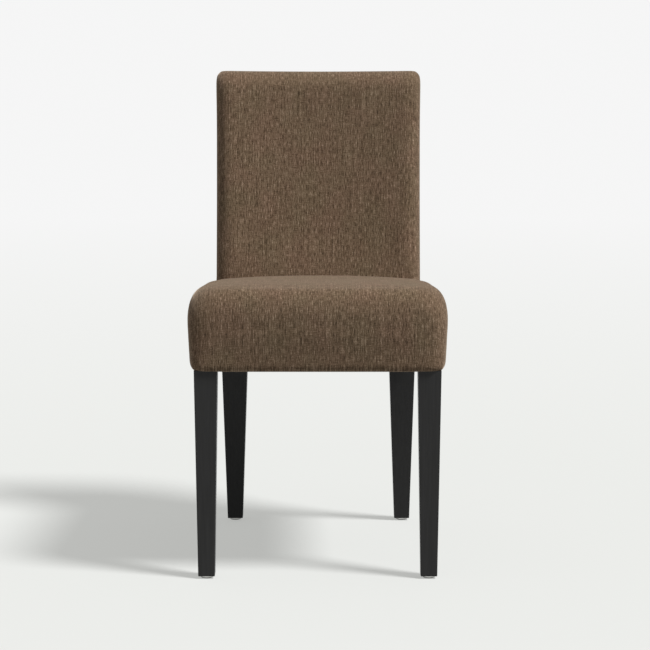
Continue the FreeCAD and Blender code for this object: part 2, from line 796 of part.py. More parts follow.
# Glides: a domed cap with a nail
def foot_middle(front):
    if front:
        return (front_half - front_foot_inset - front_foot_width / 2,
                front_foot_setback + front_foot_width / 2)
    return (post_outer - rear_foot_inset - rear_foot_width / 2,
            frame_depth + rear_foot_reach - rear_foot_width / 2)


def make_glide(x, y):
    edge = glide_diameter / 2
    rim_base = glide_height - glide_rim
    sole = edge - rim_base
    turn = math.sqrt(0.5)
    shoulder = V(sole + rim_base * turn, 0, rim_base * (1 - turn))
    outline = [
        Part.LineSegment(V(0, 0, 0), V(sole, 0, 0)).toShape(),
        Part.Arc(V(sole, 0, 0), shoulder, V(edge, 0, rim_base)).toShape(),
        Part.LineSegment(V(edge, 0, rim_base), V(edge, 0, glide_height)).toShape(),
        Part.LineSegment(V(edge, 0, glide_height), V(0, 0, glide_height)).toShape(),
        Part.LineSegment(V(0, 0, glide_height), V(0, 0, 0)).toShape()]
    cap = Part.Face(Part.Wire(outline)).revolve(V(0, 0, 0), V(0, 0, 1), 360)
    nail = rod(V(0, 0, glide_height), up, glide_nail_length, glide_nail_diameter)
    glide = joined(cap, nail)
    glide.translate(V(x, y, 0))
    return glide


def glide_bore(x, y):
    return rod(V(x, y, glide_height), up, glide_nail_length + dowel_end_room,
               glide_nail_diameter + 2 * tack_fit)


front_foot = foot_middle(True)
rear_foot = foot_middle(False)

# Bore the frame for its fasteners and name every piece
front_leg = bored(front_leg, front_rail_joint + side_front_joint).cut(glide_bore(*front_foot))
rear_post = bored(rear_post, rear_rail_joint + side_rear_joint + lower_rail_joint + top_rail_joint)
rear_post = rear_post.cut([glide_bore(*rear_foot)] + strap_bores)
side_rail = bored(side_rail, side_front_joint + side_rear_joint)
screw_bores = {end: [screw_hole(*place) for place in places] for end, places in block_screws.items()}
all_screw_bores = [b for end in ("front", "rear") for b in screw_bores[end]]
side_rail = side_rail.cut(all_screw_bores + dust_bores)
front_rail = bored_both_sides(front_rail, front_rail_joint)
front_rail = front_rail.cut(all_screw_bores + [mirrored(b) for b in all_screw_bores]
                            + clip_bores_front + dust_bores)
rear_rail = bored_both_sides(rear_rail, rear_rail_joint)
rear_rail = rear_rail.cut(all_screw_bores + [mirrored(b) for b in all_screw_bores]
                          + clip_bores_rear + dust_bores)

paired = {"front_leg": front_leg, "rear_post": rear_post, "side_rail": side_rail,
          "front_corner_block": front_block.cut(screw_bores["front"]),
          "rear_corner_block": rear_block.cut(screw_bores["rear"])}
for name, shape in paired.items():
    parts[name + "_right"] = shape
    parts[name + "_left"] = mirrored(shape)

parts["front_rail"] = front_rail
parts["rear_rail"] = rear_rail
parts["back_lower_rail"] = bored_both_sides(lower_rail, lower_rail_joint)
parts["back_top_rail"] = bored_both_sides(top_rail, top_rail_joint)

seat_joints = front_rail_joint + rear_rail_joint + side_front_joint + side_rear_joint
seat_dowels = [dowel(*place) for place in seat_joints]
parts["seat_frame_dowels"] = Part.makeCompound(seat_dowels + [mirrored(d) for d in seat_dowels])
back_dowels = [dowel(*place) for place in lower_rail_joint + top_rail_joint]
parts["back_frame_dowels"] = Part.makeCompound(back_dowels + [mirrored(d) for d in back_dowels])
screws = [screw(*place) for end in ("front", "rear") for place in block_screws[end]]
parts["corner_block_screws"] = Part.makeCompound(screws + [mirrored(s) for s in screws])

for i, x in enumerate(spring_places):
    parts["seat_spring_%d" % (i + 1)] = make_spring(x)
parts["spring_clips_front"] = Part.makeCompound([c.cut(clip_bores_front) for c in front_clips])
parts["spring_clips_rear"] = Part.makeCompound([c.cut(clip_bores_rear) for c in rear_clips])
parts["spring_clip_nails"] = Part.makeCompound([tack(p, down) for p in front_nails + rear_nails])
parts["spring_insulator"] = insulator
parts["seat_foam"] = make_seat_foam()
parts["seat_batting"] = make_seat_batting()
parts["seat_cover"] = make_seat_cover().cut(dust_bores)
parts["dust_cover"] = make_dust_cover().cut(dust_bores)
parts["dust_cover_tacks"] = Part.makeCompound([tack(p, up) for p in dust_tacks])

for i in range(strap_count):
    parts["back_strap_%d" % (i + 1)] = make_strap(i).cut(strap_bores)
parts["strap_tacks"] = Part.makeCompound([tack(p, into_post) for p in strap_tacks])
parts["back_foam"] = make_back_foam()
parts["back_batting"] = make_back_batting()
parts["back_cover"] = make_back_cover()
parts["back_stiffener"] = rear_sheet(stiffener_offset, cover_cloth, seat_bottom + layer_gap,
                                     stiffener_top, stiffener_half)
parts["back_tack_strips"] = Part.makeCompound(make_tack_strips())
parts["outside_back_panel"] = make_panel().cut(dust_bores)

for end, foot in (("front", front_foot), ("rear", rear_foot)):
    glide = make_glide(*foot)
    parts["glide_%s_right" % end] = glide
    parts["glide_%s_left" % end] = mirrored(glide)

# Set the origin on the floor under the middle of the chair and write the pieces
foremost = -pad_room - bottom_bow - bulge
rearmost = post_rear_at(panel_top) + panel_offset + cover_cloth
shift = V(0, -(foremost + rearmost) / 2, 0)
os.makedirs("parts", exist_ok=True)
for name, shape in parts.items():
    shape.translate(shift)
    shape.exportStep("parts/%s.step" % name)
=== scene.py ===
import bpy
import bmesh
import json
import math
from mathutils import Matrix, Vector

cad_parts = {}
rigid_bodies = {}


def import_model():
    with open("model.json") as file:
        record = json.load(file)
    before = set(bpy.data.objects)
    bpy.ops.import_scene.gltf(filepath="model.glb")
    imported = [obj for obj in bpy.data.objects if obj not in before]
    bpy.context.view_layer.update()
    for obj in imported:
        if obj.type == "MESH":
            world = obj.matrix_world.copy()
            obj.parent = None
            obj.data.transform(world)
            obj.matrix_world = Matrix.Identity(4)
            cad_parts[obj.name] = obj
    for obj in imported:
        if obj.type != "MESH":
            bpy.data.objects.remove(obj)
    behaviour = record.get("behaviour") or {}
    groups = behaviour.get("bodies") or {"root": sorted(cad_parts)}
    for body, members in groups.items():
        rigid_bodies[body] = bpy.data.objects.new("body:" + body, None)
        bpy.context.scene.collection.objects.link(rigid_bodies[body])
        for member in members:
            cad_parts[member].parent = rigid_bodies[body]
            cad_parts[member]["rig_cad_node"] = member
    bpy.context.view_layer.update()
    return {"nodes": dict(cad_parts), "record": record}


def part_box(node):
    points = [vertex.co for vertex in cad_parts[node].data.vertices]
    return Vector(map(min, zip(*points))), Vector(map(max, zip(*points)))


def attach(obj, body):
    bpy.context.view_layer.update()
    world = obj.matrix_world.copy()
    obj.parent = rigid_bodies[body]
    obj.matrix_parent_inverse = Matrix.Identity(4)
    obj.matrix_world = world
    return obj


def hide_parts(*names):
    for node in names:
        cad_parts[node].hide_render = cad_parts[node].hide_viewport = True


# Looks of the upholstered dining chair. Lengths are in metres.
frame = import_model()
nodes = frame["nodes"]


# Shader helpers
class Finish:
    """A material with its shader and short ways to add the nodes that feed it."""

    def __init__(self, name):
        self.material = bpy.data.materials.new(name)
        self.material.use_nodes = True
        self.tree = self.material.node_tree
        self.shader = next(n for n in self.tree.nodes if n.type == "BSDF_PRINCIPLED")

    def set(self, **sockets):
        for name, value in sockets.items():
            title = name.replace("_", " ").title().replace("Ior", "IOR")
            self.shader.inputs[title].default_value = value

    def node(self, kind, **settings):
        made = self.tree.nodes.new(kind)
        for name, value in settings.items():
            setattr(made, name, value)
        return made

    def join(self, source, target):
        self.tree.links.new(source, target)

    def place(self, source, stretch):
        """Where a pattern is read: Object or UV, stretched by three numbers."""
        coordinates = self.node("ShaderNodeTexCoord")
        mapping = self.node("ShaderNodeMapping")
        mapping.inputs["Scale"].default_value = stretch
        self.join(coordinates.outputs[source], mapping.inputs["Vector"])
        return mapping.outputs["Vector"]

    def noise(self, source, stretch, scale=1.0, detail=2.0, roughness=0.5):
        made = self.node("ShaderNodeTexNoise")
        made.inputs["Scale"].default_value = scale
        made.inputs["Detail"].default_value = detail
        made.inputs["Roughness"].default_value = roughness
        self.join(self.place(source, stretch), made.inputs["Vector"])
        return made.outputs["Fac"]

    def ramp(self, value, stops):
        """stops are (position, colour)."""
        made = self.node("ShaderNodeValToRGB")
        ends = made.color_ramp.elements
        while len(ends) < len(stops):
            ends.new(0.5)
        for end, (position, colour) in zip(ends, stops):
            end.position = position
            end.color = (*colour, 1.0)
        self.join(value, made.inputs["Fac"])
        return made.outputs["Color"]

    def sums(self, operation, first, second):
        made = self.node("ShaderNodeMath", operation=operation)
        for socket, value in zip(made.inputs, (first, second)):
            if isinstance(value, (int, float)):
                socket.default_value = value
            else:
                self.join(value, socket)
        return made.outputs["Value"]

    def mix(self, share, first, second, blend="MIX"):
        made = self.node("ShaderNodeMix", data_type="RGBA", blend_type=blend)
        for socket, value in ((made.inputs[0], share), (made.inputs[6], first), (made.inputs[7], second)):
            if isinstance(value, (int, float)):
                socket.default_value = value
            elif isinstance(value, tuple):
                socket.default_value = (*value, 1.0)
            else:
                self.join(value, socket)
        return made.outputs[2]

    def bump(self, height, depth, strength=1.0):
        made = self.node("ShaderNodeBump")
        made.inputs["Strength"].default_value = strength
        made.inputs["Distance"].default_value = depth
        self.join(height, made.inputs["Height"])
        self.join(made.outputs["Normal"], self.shader.inputs["Normal"])

    def colour(self, value):
        self.join(value, self.shader.inputs["Base Color"])

    def rough(self, value):
        self.join(value, self.shader.inputs["Roughness"])

    def between(self, value, low, high):
        """A pattern from 0 to 1 brought to a range."""
        made = self.node("ShaderNodeMapRange")
        made.inputs["To Min"].default_value = low
        made.inputs["To Max"].default_value = high
        self.join(value, made.inputs["Value"])
        return made.outputs["Result"]


# Finishes
def heathered_weave():
    """Brown cloth of slubbed threads, read from the cloth's own layout in metres."""
    cloth = Finish("heathered_weave")
    cloth.set(roughness=0.95, sheen_weight=0.50, sheen_roughness=0.42, sheen_tint=(1.0, 0.80, 0.62, 1.0),
              specular_ior_level=0.12)
    warp = cloth.noise("UV", (740.0, 68.0, 1.0), detail=2.0, roughness=0.7)
    weft = cloth.noise("UV", (78.0, 740.0, 1.0), detail=1.0)
    patch = cloth.noise("UV", (55.0, 40.0, 1.0), detail=1.0)
    fleck = cloth.noise("UV", (1000.0, 380.0, 1.0), detail=1.0)
    slub = cloth.noise("UV", (560.0, 9.0, 1.0), detail=1.0)
    cloud = cloth.noise("UV", (15.0, 10.0, 1.0), detail=2.0)
    most_crossing = 0.48
    fleck_share = 0.20
    slub_share = 0.18
    crossing = cloth.between(patch, 0.0, most_crossing)
    threads = cloth.sums("ADD", cloth.sums("MULTIPLY", warp, cloth.sums("SUBTRACT", 1.0, crossing)),
                         cloth.sums("MULTIPLY", weft, crossing))
    threads = cloth.sums("ADD", cloth.sums("MULTIPLY", threads, 1.0 - fleck_share - slub_share),
                         cloth.sums("MULTIPLY", fleck, fleck_share))
    threads = cloth.sums("ADD", threads, cloth.sums("MULTIPLY", slub, slub_share))
    brown = cloth.ramp(threads, [
        (0.38, (0.037, 0.024, 0.014)), (0.455, (0.100, 0.065, 0.039)),
        (0.51, (0.152, 0.101, 0.063)), (0.565, (0.234, 0.163, 0.108)),
        (0.65, (0.410, 0.306, 0.222))])
    tint = cloth.ramp(cloud, [(0.35, (0.97, 1.0, 0.97)), (0.65, (1.03, 0.985, 1.0))])
    cloth.colour(cloth.mix(1.0, brown, tint, "MULTIPLY"))
    cloth.bump(threads, 0.0013, 0.45)
    return cloth.material


def satin_lacquer():
    """Near-black lacquer on the legs, down from the seat, with bare timber above it."""
    lacquer_top = 0.392
    coat = Finish("satin_black_lacquer")
    coat.set(roughness=0.38, specular_ior_level=0.16)
    grain = coat.noise("Object", (260.0, 260.0, 12.0), detail=3.0, roughness=0.6)
    smudge = coat.noise("Object", (18.0, 18.0, 7.0), detail=2.0)
    lacquer = coat.ramp(grain, [(0.3, (0.024, 0.0237, 0.0235)), (0.7, (0.032, 0.0317, 0.0315))])
    timber = coat.ramp(grain, [(0.3, (0.42, 0.29, 0.17)), (0.7, (0.62, 0.46, 0.29))])
    height = coat.node("ShaderNodeSeparateXYZ")
    coat.join(coat.place("Object", (1.0, 1.0, 1.0)), height.inputs["Vector"])
    bare = coat.sums("GREATER_THAN", height.outputs["Z"], lacquer_top)
    coat.colour(coat.mix(bare, lacquer, timber))
    coat.rough(coat.between(smudge, 0.31, 0.42))
    coat.bump(grain, 0.0002, 0.35)
    return coat.material


def bare_timber():
    wood = Finish("bare_timber")
    wood.set(roughness=0.62)
    grain = wood.noise("Object", (18.0, 190.0, 190.0), detail=4.0, roughness=0.65)
    rings = wood.noise("Object", (5.0, 45.0, 45.0), detail=2.0)
    pale = wood.ramp(grain, [(0.3, (0.40, 0.27, 0.155)), (0.7, (0.62, 0.46, 0.29))])
    wood.colour(wood.mix(rings, pale, (0.52, 0.36, 0.21)))
    wood.rough(wood.between(grain, 0.5, 0.72))
    wood.bump(grain, 0.0004, 0.5)
    return wood.material


def dowel_timber():
    wood = Finish("dowel_timber")
    wood.set(roughness=0.55)
    grain = wood.noise("Object", (30.0, 320.0, 320.0), detail=3.0)
    wood.colour(wood.ramp(grain, [(0.3, (0.55, 0.40, 0.24)), (0.7, (0.74, 0.58, 0.38))]))
    wood.bump(grain, 0.0003, 0.5)
    return wood.material


def plated(name, low, high, roughness):
    """Plated or tempered steel with faint drawing marks."""
    smoother = 0.07
    rougher = 0.08
    steel = Finish(name)
    steel.set(metallic=1.0)
    marks = steel.noise("Object", (700.0, 90.0, 700.0), detail=3.0)
    steel.colour(steel.ramp(marks, [(0.3, low), (0.7, high)]))
    steel.rough(steel.between(marks, roughness - smoother, roughness + rougher))
    steel.bump(marks, 0.0001, 0.4)
    return steel.material


def pressed_nickel():
    """Bright caps under the feet, with painted shade darkening them towards the sole, where the floor's
    shadow and its dark reflection fall.
    """
    # Heights over the floor between which the painted shade near the sole fades out.
    painted_shade_full_below = 0.0008
    painted_shade_gone_above = 0.0030
    cap = Finish("pressed_nickel")
    cap.set(metallic=1.0)
    scuff = cap.noise("Object", (900.0, 900.0, 250.0), detail=3.0)
    height = cap.node("ShaderNodeSeparateXYZ")
    cap.join(cap.place("Object", (1.0, 1.0, 1.0)), height.inputs["Vector"])
    painted_shade_fade = cap.node("ShaderNodeMapRange")
    painted_shade_fade.inputs["From Min"].default_value = painted_shade_full_below
    painted_shade_fade.inputs["From Max"].default_value = painted_shade_gone_above
    cap.join(height.outputs["Z"], painted_shade_fade.inputs["Value"])
    # Painted shade: dark grey at the sole, standing for the contact shadow and reflected shadowed floor,
    # fading up into the nickel's own pale grey.
    cap.colour(cap.mix(painted_shade_fade.outputs["Result"], (0.10, 0.10, 0.10), (0.62, 0.62, 0.60)))
    cap.rough(cap.between(scuff, 0.2, 0.38))
    cap.bump(scuff, 0.00008, 0.4)
    return cap.material


def open_cell_foam():
    foam = Finish("open_cell_foam")
    foam.set(roughness=0.95, specular_ior_level=0.2)
    cells = foam.node("ShaderNodeTexVoronoi")
    cells.inputs["Scale"].default_value = 420.0
    foam.join(foam.place("Object", (1.0, 1.0, 1.0)), cells.inputs["Vector"])
    foam.colour(foam.ramp(cells.outputs["Distance"], [(0.0, (0.70, 0.64, 0.44)), (0.6, (0.86, 0.81, 0.62))]))
    foam.bump(cells.outputs["Distance"], 0.0012, 0.8)
    return foam.material


def loose_batting():
    fibre = Finish("loose_batting")
    fibre.set(roughness=0.95, sheen_weight=0.5, sheen_roughness=0.6, specular_ior_level=0.2)
    strands = fibre.noise("Object", (260.0, 90.0, 180.0), detail=4.0, roughness=0.7)
    fibre.colour(fibre.ramp(strands, [(0.3, (0.72, 0.72, 0.70)), (0.7, (0.88, 0.88, 0.87))]))
    fibre.bump(strands, 0.0025, 0.8)
    return fibre.material


def pressed_felt(name, dark, light, dimple):
    """Non-woven cloth with small pressed dimples."""
    felt = Finish(name)
    felt.set(roughness=0.9, sheen_weight=0.2, specular_ior_level=0.25)
    fibres = felt.noise("Object", (350.0, 350.0, 350.0), detail=3.0)
    dots = felt.node("ShaderNodeTexVoronoi")
    dots.inputs["Scale"].default_value = dimple
    dots.inputs["Randomness"].default_value = 0.15
    felt.join(felt.place("Object", (1.0, 1.0, 1.0)), dots.inputs["Vector"])
    felt.colour(felt.ramp(fibres, [(0.3, dark), (0.7, light)]))
    felt.bump(felt.sums("ADD", dots.outputs["Distance"], fibres), 0.0006, 0.7)
    return felt.material


def coarse_webbing():
    web = Finish("coarse_webbing")
    web.set(roughness=0.9, specular_ior_level=0.25)
    across = web.noise("Object", (900.0, 900.0, 90.0), detail=2.0)
    along = web.noise("Object", (90.0, 900.0, 900.0), detail=2.0)
    yarn = web.sums("MULTIPLY", web.sums("ADD", across, along), 0.5)
    web.colour(web.ramp(yarn, [(0.38, (0.18, 0.12, 0.06)), (0.62, (0.46, 0.35, 0.21))]))
    web.bump(yarn, 0.0012, 0.8)
    return web.material


def paper_board():
    board = Finish("paper_board")
    board.set(roughness=0.85, specular_ior_level=0.3)
    pulp = board.noise("Object", (240.0, 240.0, 240.0), detail=4.0, roughness=0.7)
    board.colour(board.ramp(pulp, [(0.3, (0.38, 0.28, 0.17)), (0.7, (0.52, 0.40, 0.27))]))
    board.bump(pulp, 0.0003, 0.5)
    return board.material


finishes = {
    "leg_lacquer": satin_lacquer(),
    "frame_wood": bare_timber(),
    "dowel_wood": dowel_timber(),
    "screw_steel": plated("zinc_screws", (0.48, 0.42, 0.26), (0.68, 0.60, 0.40), 0.32),
    "spring_steel": plated("tempered_wire", (0.10, 0.10, 0.11), (0.22, 0.22, 0.24), 0.42),
    "clip_steel": plated("zinc_clips", (0.42, 0.43, 0.45), (0.62, 0.63, 0.65), 0.35),
    "tack_steel": plated("blued_tacks", (0.06, 0.07, 0.10), (0.14, 0.16, 0.20), 0.35),
    "insulator_cloth": pressed_felt("insulator_felt", (0.36, 0.34, 0.30), (0.58, 0.56, 0.51), 300.0),
    "foam": open_cell_foam(),
    "batting": loose_batting(),
    "cover_fabric": heathered_weave(),
    "dust_cloth": pressed_felt("dust_cloth_felt", (0.012, 0.012, 0.012), (0.035, 0.035, 0.035), 420.0),
    "webbing": coarse_webbing(),
    "card": paper_board(),
    "glide_metal": pressed_nickel(),
}


def finish_of(piece, slot):
    """The piece shows the finish of one of the record's slots."""
    if not piece.material_slots:
        piece.data.materials.append(finishes[slot])
    for place in piece.material_slots:
        place.link = "OBJECT"
        place.material = finishes[slot]


for subpart in frame["record"]["subparts"]:
    finish_of(nodes[subpart["node"]], subpart["material_slot"])


# Upholstery
def new_piece(name, bm):
    mesh = bpy.data.meshes.new(name)
    bm.to_mesh(mesh)
    bm.free()
    piece = bpy.data.objects.new(name, mesh)
    bpy.context.scene.collection.objects.link(piece)
    return piece


def applied(piece):
    """The piece with its modifiers made part of its mesh."""
    bpy.context.view_layer.update()
    shown = piece.evaluated_get(bpy.context.evaluated_depsgraph_get())
    mesh = bpy.data.meshes.new_from_object(shown)
    old = piece.data
    piece.modifiers.clear()
    piece.data = mesh
    bpy.data.meshes.remove(old)
    return piece


def block(bm, low, high, lean=0.0):
    """A box between two corners, whose top leans back by lean for each metre of height."""
    size = Vector(high) - Vector(low)
    middle = (Vector(high) + Vector(low)) / 2
    place = Matrix.Translation(middle) @ Matrix.Diagonal((*size, 1.0))
    made = bmesh.ops.create_cube(bm, size=1.0, matrix=place)
    for corner in made["verts"]:
        corner.co.y += (corner.co.z - low[2]) * lean


def pad_from(name, layers, fill):
    """One closed pad in the space of the CAD layers, with the hollow inside them filled."""
    bm = bmesh.new()
    for layer in layers:
        bm.from_mesh(nodes[layer].data)
    bmesh.ops.remove_doubles(bm, verts=bm.verts, dist=same_place)
    for low, high, lean in fill:
        block(bm, low, high, lean)
    pad = new_piece(name, bm)
    remesh = pad.modifiers.new("even_quads", "REMESH")
    remesh.mode = "VOXEL"
    remesh.voxel_size = pad_grain
    remesh.use_smooth_shade = True
    return applied(pad)


def eased(pad, rounds):
    """Evens out the pad's surface."""
    bm = bmesh.new()
    bm.from_mesh(pad.data)
    for _ in range(rounds):
        bmesh.ops.smooth_vert(bm, verts=bm.verts, factor=0.5,
                              use_axis_x=True, use_axis_y=True, use_axis_z=True)
    bm.to_mesh(pad.data)
    bm.free()


def filled_out(pad, held):
    """The pad swells as its filling would make it, each point by a small amount at most."""
    most_swelling = 0.0012
    pressure = 4.0
    last_step = 20
    mesh = pad.data
    still = pad.vertex_groups.new(name="tacked_down")
    still.add([v.index for v in mesh.vertices if held(v.co)], 1.0, "REPLACE")
    cloth = pad.modifiers.new("filling", "CLOTH")
    cloth.settings.use_pressure = True
    cloth.settings.uniform_pressure_force = pressure
    cloth.settings.effector_weights.gravity = 0.0
    cloth.settings.vertex_group_mass = "tacked_down"
    cloth.point_cache.frame_start = 1
    cloth.point_cache.frame_end = last_step
    scene = bpy.context.scene
    for step in range(1, last_step + 1):
        scene.frame_set(step)
    shown = pad.evaluated_get(bpy.context.evaluated_depsgraph_get())
    swollen = [v.co.copy() for v in shown.data.vertices]
    outward = [v.normal.copy() for v in mesh.vertices]
    for corner, away, normal in zip(mesh.vertices, swollen, outward):
        corner.co += normal * min(max((away - corner.co).dot(normal), 0.0), most_swelling)
    scene.frame_set(1)
    pad.modifiers.remove(cloth)
    pad.vertex_groups.remove(still)


def plumped(pad, swell):
    """Every point moves out by swell, which makes up for what smoothing took away."""
    outward = [v.normal.copy() for v in pad.data.vertices]
    for corner, normal in zip(pad.data.vertices, outward):
        corner.co += normal * swell


def finer(pad):
    """One subdivision, which also evens the weave's ground."""
    divide = pad.modifiers.new("finer", "SUBSURF")
    divide.levels = 1
    divide.render_levels = 1
    applied(pad)
    for face in pad.data.polygons:
        face.use_smooth = True


seat_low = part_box("seat_cover")[0]
front_rail_low, front_rail_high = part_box("front_rail")
rear_rail_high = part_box("rear_rail")[1]
foam_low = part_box("seat_foam")[0]
back_low, back_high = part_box("back_cover")
lower_rail_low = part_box("back_lower_rail")[0]
top_rail_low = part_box("back_top_rail")[0]
back_lean = (top_rail_low[1] - lower_rail_low[1]) / (top_rail_low[2] - lower_rail_low[2])
cloth_thickness = 0.0015
pad_grain = 0.006
same_place = 1e-6
above_foot = 0.0002


def seat_cushion():
    """The filled seat, from the cover's foot up, with the hollow round the frame closed."""
    bottom = seat_low[2] + above_foot
    front = front_rail_low[1]
    core_half = 0.200
    core_rear = 0.126
    core_top = foam_low[2] + 0.015
    filling = [((-core_half, front + 0.002, bottom), (core_half, core_rear, core_top), 0.0)]
    corner_reach = (0.175, 0.2175)
    corner_front, corner_rear = front + 0.004, front + 0.060
    flank_reach = (0.2005, 0.211)
    flank_front, flank_rear = 0.10, rear_rail_high[1] - 0.004
    flank_top = foam_low[2] + 0.010
    for side in (1, -1):
        ends = sorted(side * reach for reach in corner_reach)
        filling.append(((ends[0], corner_front, bottom), (ends[1], corner_rear, front_rail_high[2]), 0.0))
        ends = sorted(side * reach for reach in flank_reach)
        filling.append(((ends[0], flank_front, bottom), (ends[1], flank_rear, flank_top), 0.0))
    layers = ["seat_cover", "seat_batting", "seat_foam", "side_rail_left", "side_rail_right"]
    pad = pad_from("seat_cushion", layers, filling)
    hem_top = bottom + 0.006
    rear_edge = 0.125
    eased(pad, 2)
    filled_out(pad, lambda co: co.z < hem_top or (co.y > rear_edge and abs(co.x) < core_half))
    eased(pad, 1)
    finer(pad)
    plumped(pad, 0.0010)
    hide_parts("seat_cover", "seat_batting", "seat_foam")
    return pad


def back_cushion():
    """The filled back, down to the seat frame, with a top that dips a little in its middle."""
    foot = back_low[2] + above_foot
    face = lower_rail_low[1] - (lower_rail_low[2] - back_low[2]) * back_lean
    core_half = 0.190
    core_top = 0.884
    filling = [((-core_half, face - 0.006, foot), (core_half, face + 0.026, core_top), back_lean)]
    pad = pad_from("back_cushion", ["back_cover", "back_batting", "back_foam"], filling)
    hem_top = foot + 0.02
    eased(pad, 2)
    filled_out(pad, lambda co: co.z < hem_top)
    eased(pad, 1)
    finer(pad)
    plumped(pad, 0.0009)
    top_dip = 0.0016
    half_width = back_high[0]
    fade = 0.09
    for corner in pad.data.vertices:
        near_top = max(0.0, 1.0 - (back_high[2] - corner.co.z) / fade)
        corner.co.z -= top_dip * near_top * max(0.0, 1.0 - (corner.co.x / half_width) ** 2)
    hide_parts("back_cover", "back_batting", "back_foam")
    return pad


def lay_cloth(piece):
    """The weave runs across the piece, and up its front and on over the top."""
    layout = piece.data.uv_layers.new(name="weave")
    side_on = 0.75
    for face in piece.data.polygons:
        sideways = abs(face.normal.x) > side_on
        for corner in face.loop_indices:
            x, y, z = piece.data.vertices[piece.data.loops[corner].vertex_index].co
            layout.data[corner].uv = (y, z) if sideways else (x, z + y)


for pad in (seat_cushion(), back_cushion()):
    lay_cloth(pad)
    finish_of(pad, "cover_fabric")
    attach(pad, "root")


def run_of(corners, distance):
    """The point at a distance along a bent line of (y, z) corners."""
    for (y0, z0), (y1, z1) in zip(corners, corners[1:]):
        length = math.hypot(y1 - y0, z1 - z0)
        if distance <= length + 1e-9:
            share = distance / length
            return y0 + (y1 - y0) * share, z0 + (z1 - z0) * share
        distance -= length
    return corners[-1]


panel_low, panel_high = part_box("outside_back_panel")
post_low, post_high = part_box("rear_post_right")
seat_frame_top = rear_rail_high[2]
panel_standoff = 0.0054
panel_foot_y = rear_rail_high[1] + panel_standoff
panel_line = [(panel_low[1], panel_low[2]), (panel_foot_y, panel_low[2]), (panel_foot_y, seat_frame_top),
              (panel_high[1], panel_high[2])]
panel_lengths = [math.hypot(b[0] - a[0], b[1] - a[1]) for a, b in zip(panel_line, panel_line[1:])]
panel_width = 2 * panel_high[0]
fold_half = post_low[0] - 0.002
edge_turn = 0.005


def outside_back_cloth():
    """The outside back: pulled tight, its edges turned in and its foot folded under the rail."""
    turn_depth = 0.0016
    length = sum(panel_lengths)
    bm = bmesh.new()
    bmesh.ops.create_grid(bm, x_segments=66, y_segments=90, size=0.5)
    for corner in bm.verts:
        corner.co.x *= panel_width
        along = (corner.co.y + 0.5) * length
        side_edge = max(0.0, abs(corner.co.x) - (panel_high[0] - edge_turn)) / edge_turn
        top_edge = max(0.0, along - (length - edge_turn)) / edge_turn
        corner.co.z = along
        corner.co.y = max(side_edge, top_edge) ** 2 * turn_depth if along > panel_lengths[0] else 0.0
    past_fold = [f for f in bm.faces
                 if f.calc_center_median().z < panel_lengths[0] and abs(f.calc_center_median().x) > fold_half]
    bmesh.ops.delete(bm, geom=past_fold, context="FACES")
    flat_area = sum(f.calc_area() for f in bm.faces)
    for corner in bm.verts:
        turned_in = corner.co.y
        y, z = run_of(panel_line, corner.co.z)
        corner.co = Vector((corner.co.x, y - turned_in, z))
    bmesh.ops.smooth_vert(bm, verts=[v for v in bm.verts if not v.is_boundary], factor=0.5,
                          use_axis_x=True, use_axis_y=True, use_axis_z=True)
    bmesh.ops.reverse_faces(bm, faces=bm.faces)
    cloth = new_piece("outside_back_cloth", bm)
    wall = cloth.modifiers.new("cloth_thickness", "SOLIDIFY")
    wall.thickness = cloth_thickness
    wall.offset = -1.0
    for face in cloth.data.polygons:
        face.use_smooth = True
    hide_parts("outside_back_panel")
    return cloth


dust_low, dust_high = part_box("dust_cover")
front_leg_low, front_leg_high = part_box("front_leg_right")
front_leg_width = 0.042
rear_leg_depth = 0.045


def dust_cloth():
    """The cloth under the seat, cut round the legs and sagging a little between its tacks."""
    room = 0.002
    sag = 0.004
    half = dust_high[0]
    depth = dust_high[1] - dust_low[1]
    middle = (dust_high[1] + dust_low[1]) / 2
    bm = bmesh.new()
    bmesh.ops.create_grid(bm, x_segments=80, y_segments=92, size=0.5)
    for corner in bm.verts:
        corner.co = Vector((corner.co.x * 2 * half, middle + corner.co.y * depth, dust_high[2]))

    def at_a_leg(face):
        spot = face.calc_center_median()
        across = abs(spot.x)
        in_front = spot.y < front_leg_low[1] + front_leg_width + room
        behind = spot.y > rear_rail_high[1] - rear_leg_depth - room
        front = in_front and across > front_leg_high[0] - front_leg_width - room
        rear = behind and post_low[0] - room < across < post_high[0] + room
        return front or rear

    bmesh.ops.delete(bm, geom=[f for f in bm.faces if at_a_leg(f)], context="FACES")
    flat_area = sum(f.calc_area() for f in bm.faces)
    for corner in bm.verts:
        x_share = corner.co.x / half
        y_share = (corner.co.y - middle) / (depth / 2)
        corner.co.z -= sag * (1 - x_share ** 2) * (1 - y_share ** 2)
    bmesh.ops.reverse_faces(bm, faces=bm.faces)
    cloth = new_piece("dust_cloth", bm)
    wall = cloth.modifiers.new("cloth_thickness", "SOLIDIFY")
    wall.thickness = dust_high[2] - dust_low[2]
    wall.offset = 1.0
    for face in cloth.data.polygons:
        face.use_smooth = True
    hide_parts("dust_cover")
    return cloth


